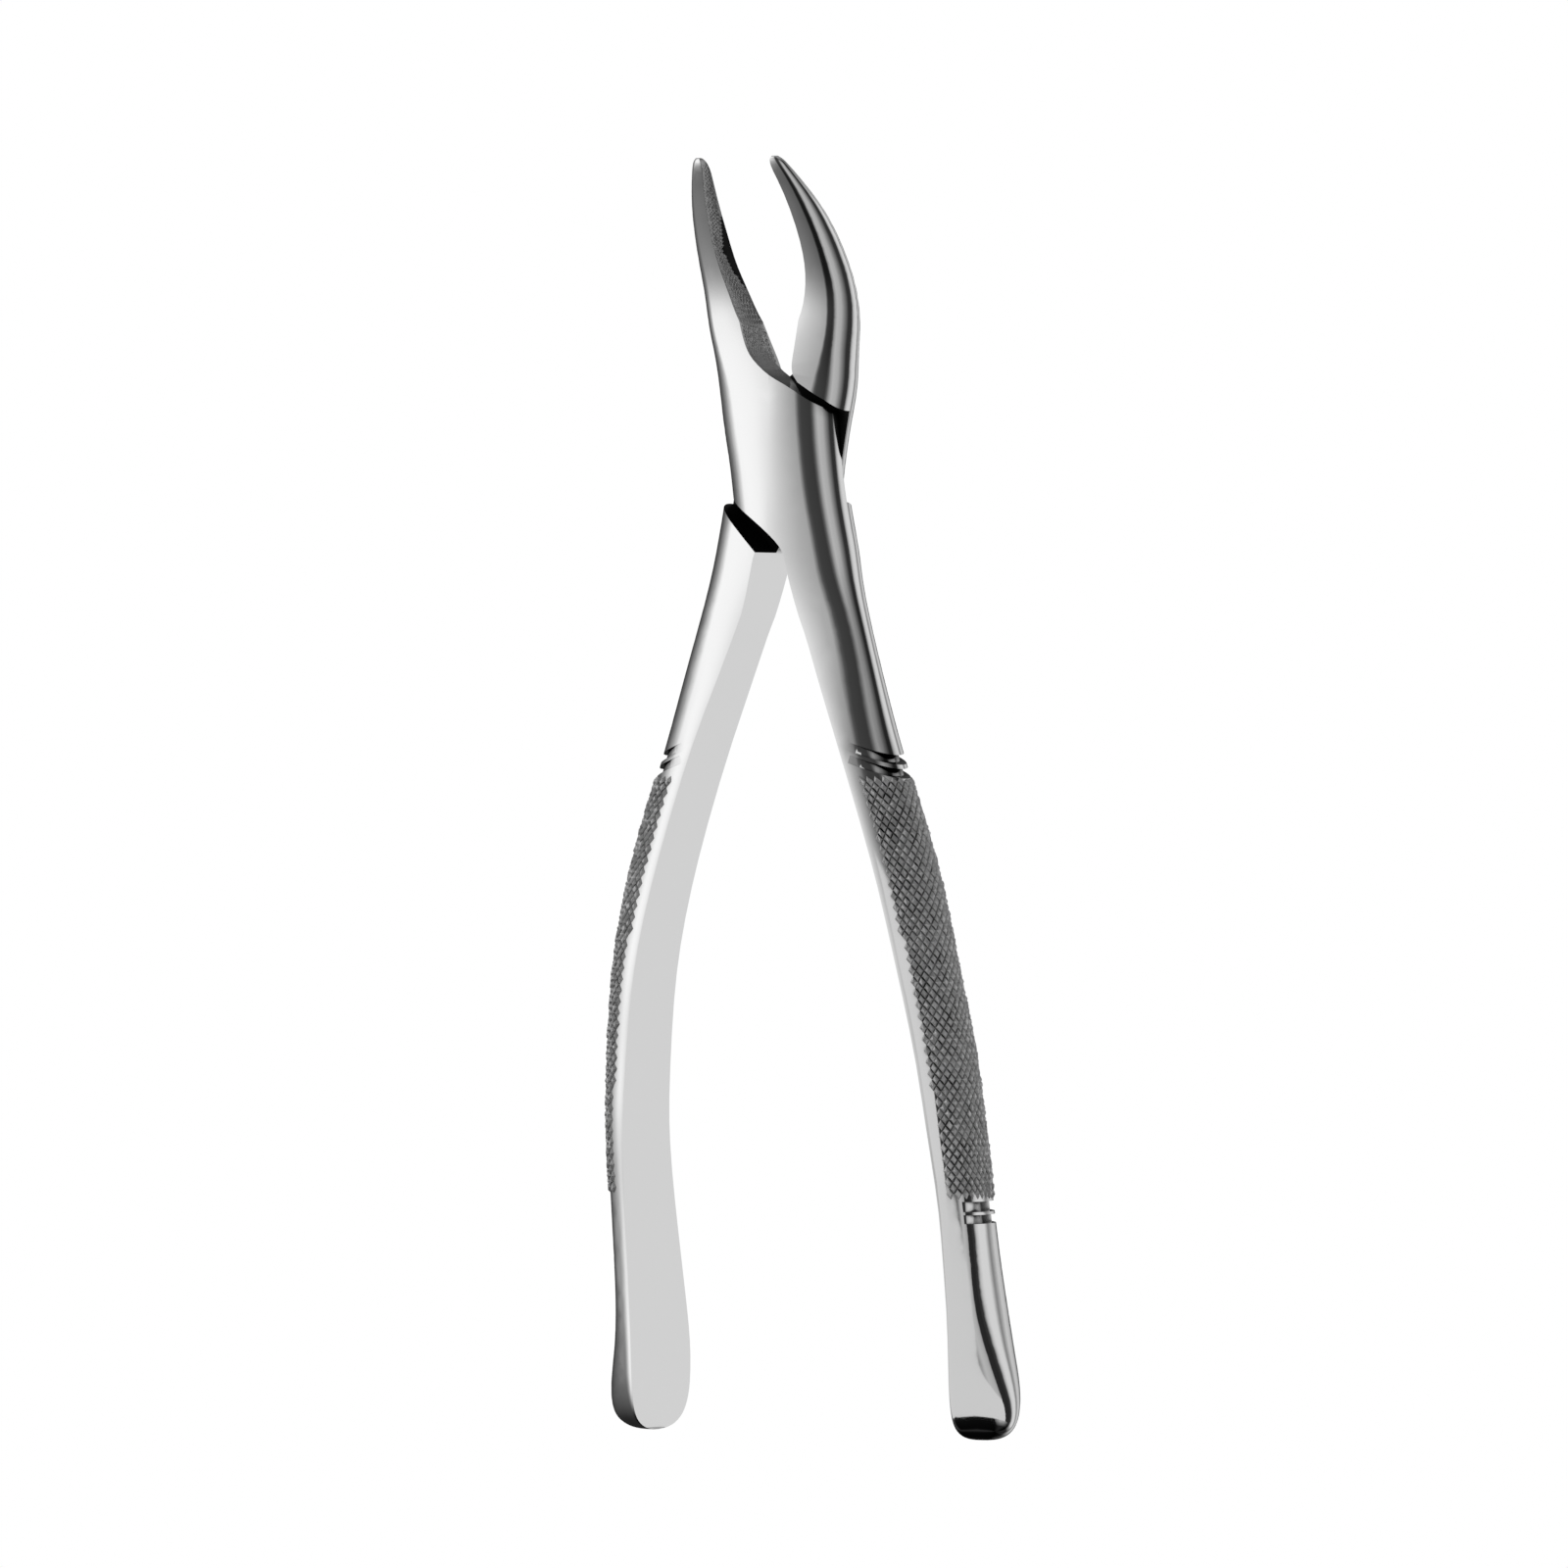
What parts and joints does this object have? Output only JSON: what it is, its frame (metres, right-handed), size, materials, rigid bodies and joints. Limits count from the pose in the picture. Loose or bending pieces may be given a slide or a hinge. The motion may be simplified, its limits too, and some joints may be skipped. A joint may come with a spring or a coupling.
{
  "type": "tooth extraction forceps",
  "caption": "Two crossed steel halves on a lap joint with a pivot screw, knurled handles and slim hollow-faced beaks for gripping tooth roots.",
  "frame": {"origin": "centre of the pivot, midway between the front and back faces of the lap joint", "axes": "+Z along the instrument towards the beak tips, X across the spread of the handles, -Y towards the front face of the joint, where the beaks lean; the pivot turns about Y"},
  "size_m": [0.0678, 0.0255, 0.1737],
  "materials": {
    "polished_steel": "mirror-polished forged stainless steel",
    "screw_steel": "fine-turned stainless steel"
  },
  "bodies": {
    "front_body": {"front_half": "polished_steel", "pivot_screw": "screw_steel"},
    "back_body": {"back_half": "polished_steel"}
  },
  "joints": [
    {"name": "pivot", "type": "hinge", "parent": "front_body", "child": "back_body", "pos_m": [0, 0, 0], "axis": [0, 1, 0], "range_deg": [-16, 12]}
  ]
}
